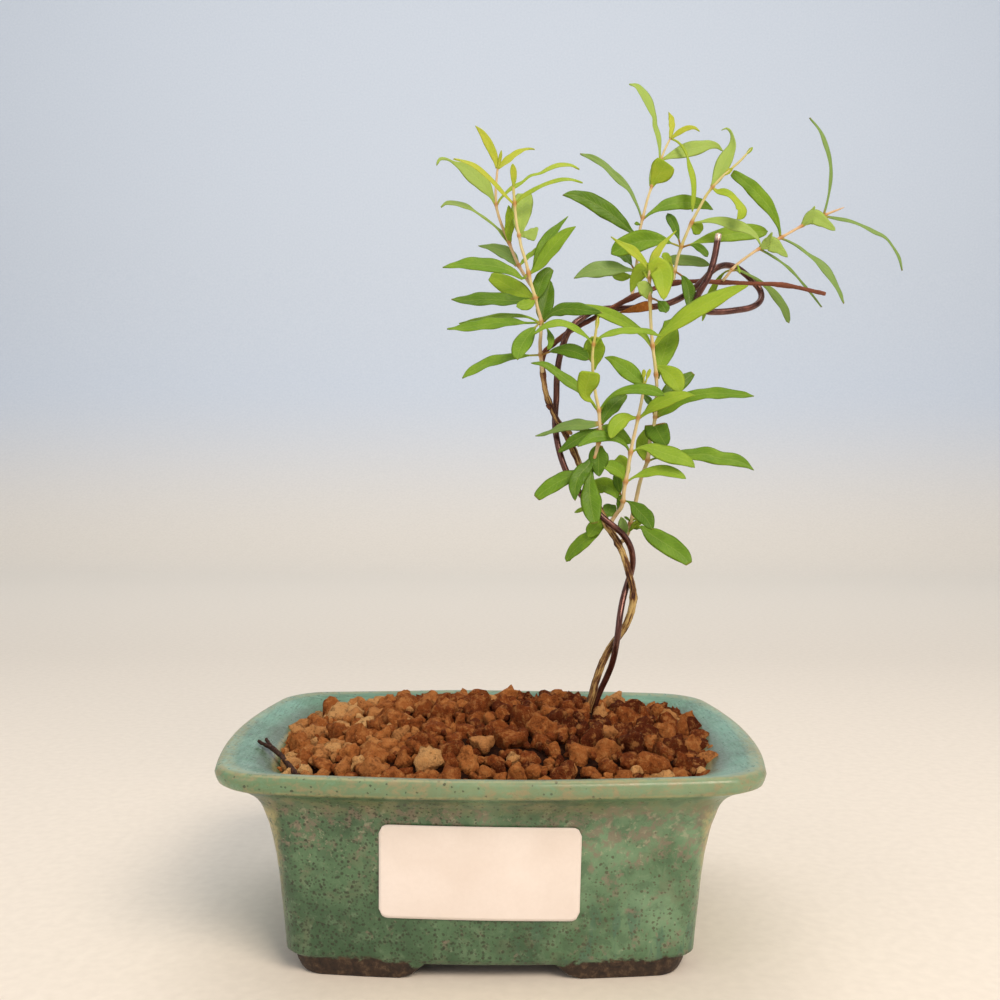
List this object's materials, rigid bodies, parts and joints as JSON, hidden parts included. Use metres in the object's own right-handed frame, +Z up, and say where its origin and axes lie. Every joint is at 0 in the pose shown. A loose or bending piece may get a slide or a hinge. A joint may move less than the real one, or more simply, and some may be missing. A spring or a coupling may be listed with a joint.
{
  "type": "bonsai tree",
  "caption": "Young pomegranate bonsai with a thin bent trunk held by training wire, narrow green leaves and a green glazed rectangular pot with a flared rim and feet.",
  "frame": {"origin": "on the ground, under the middle of the bounding box of the whole tree and pot", "axes": "+Z up along the tree; -Y towards the front wall of the pot, which carries the label; +X to the right as seen from the front, along the pot's long side"},
  "size_m": [0.1956, 0.1134, 0.2444],
  "materials": {
    "glaze": "gloss",
    "granules": "matte",
    "label_paper": "satin",
    "dead_wood": "matte",
    "bark": "matte",
    "wire": "satin",
    "young_stem": "matte",
    "leaf": "satin",
    "mesh_plastic": "matte"
  },
  "bodies": {
    "root": {"drain_screen_left": "mesh_plastic", "drain_screen_right": "mesh_plastic", "dry_twig": "dead_wood", "label": "label_paper", "leaves_a1_1": "leaf", "leaves_a1_2": "leaf", "leaves_a1_3": "leaf", "leaves_a1_4": "leaf", "leaves_a2_1": "leaf", "leaves_a2_2": "leaf", "leaves_a2_3": "leaf", "leaves_a2_4": "leaf", "leaves_a2_5": "leaf", "leaves_a2_6": "leaf", "leaves_b_1": "leaf", "leaves_b_2": "leaf", "leaves_b_3": "leaf", "leaves_b_4": "leaf", "leaves_b_5": "leaf", "leaves_b_6": "leaf", "leaves_c_1": "leaf", "leaves_c_2": "leaf", "leaves_c_3": "leaf", "leaves_c_4": "leaf", "leaves_d_1": "leaf", "leaves_d_2": "leaf", "leaves_d_3": "leaf", "leaves_d_4": "leaf", "leaves_d_5": "leaf", "leaves_e_1": "leaf", "leaves_e_2": "leaf", "leaves_e_3": "leaf", "leaves_e_4": "leaf", "leaves_e_5": "leaf", "leaves_e_6": "leaf", "leaves_e_7": "leaf", "leaves_e_8": "leaf", "leaves_f_1": "leaf", "leaves_f_2": "leaf", "leaves_f_3": "leaf", "leaves_f_4": "leaf", "leaves_f_5": "leaf", "leaves_g_1": "leaf", "leaves_g_2": "leaf", "leaves_g_3": "leaf", "leaves_g_4": "leaf", "leaves_g_5": "leaf", "leaves_trunk": "leaf", "pot": "glaze", "stem_a1": "young_stem", "stem_a2": "young_stem", "stem_b": "young_stem", "stem_c": "young_stem", "stem_d": "young_stem", "stem_e": "young_stem", "stem_f": "young_stem", "stem_g": "young_stem", "substrate": "granules", "training_wire": "wire", "trunk": "bark"}
  },
  "joints": []
}
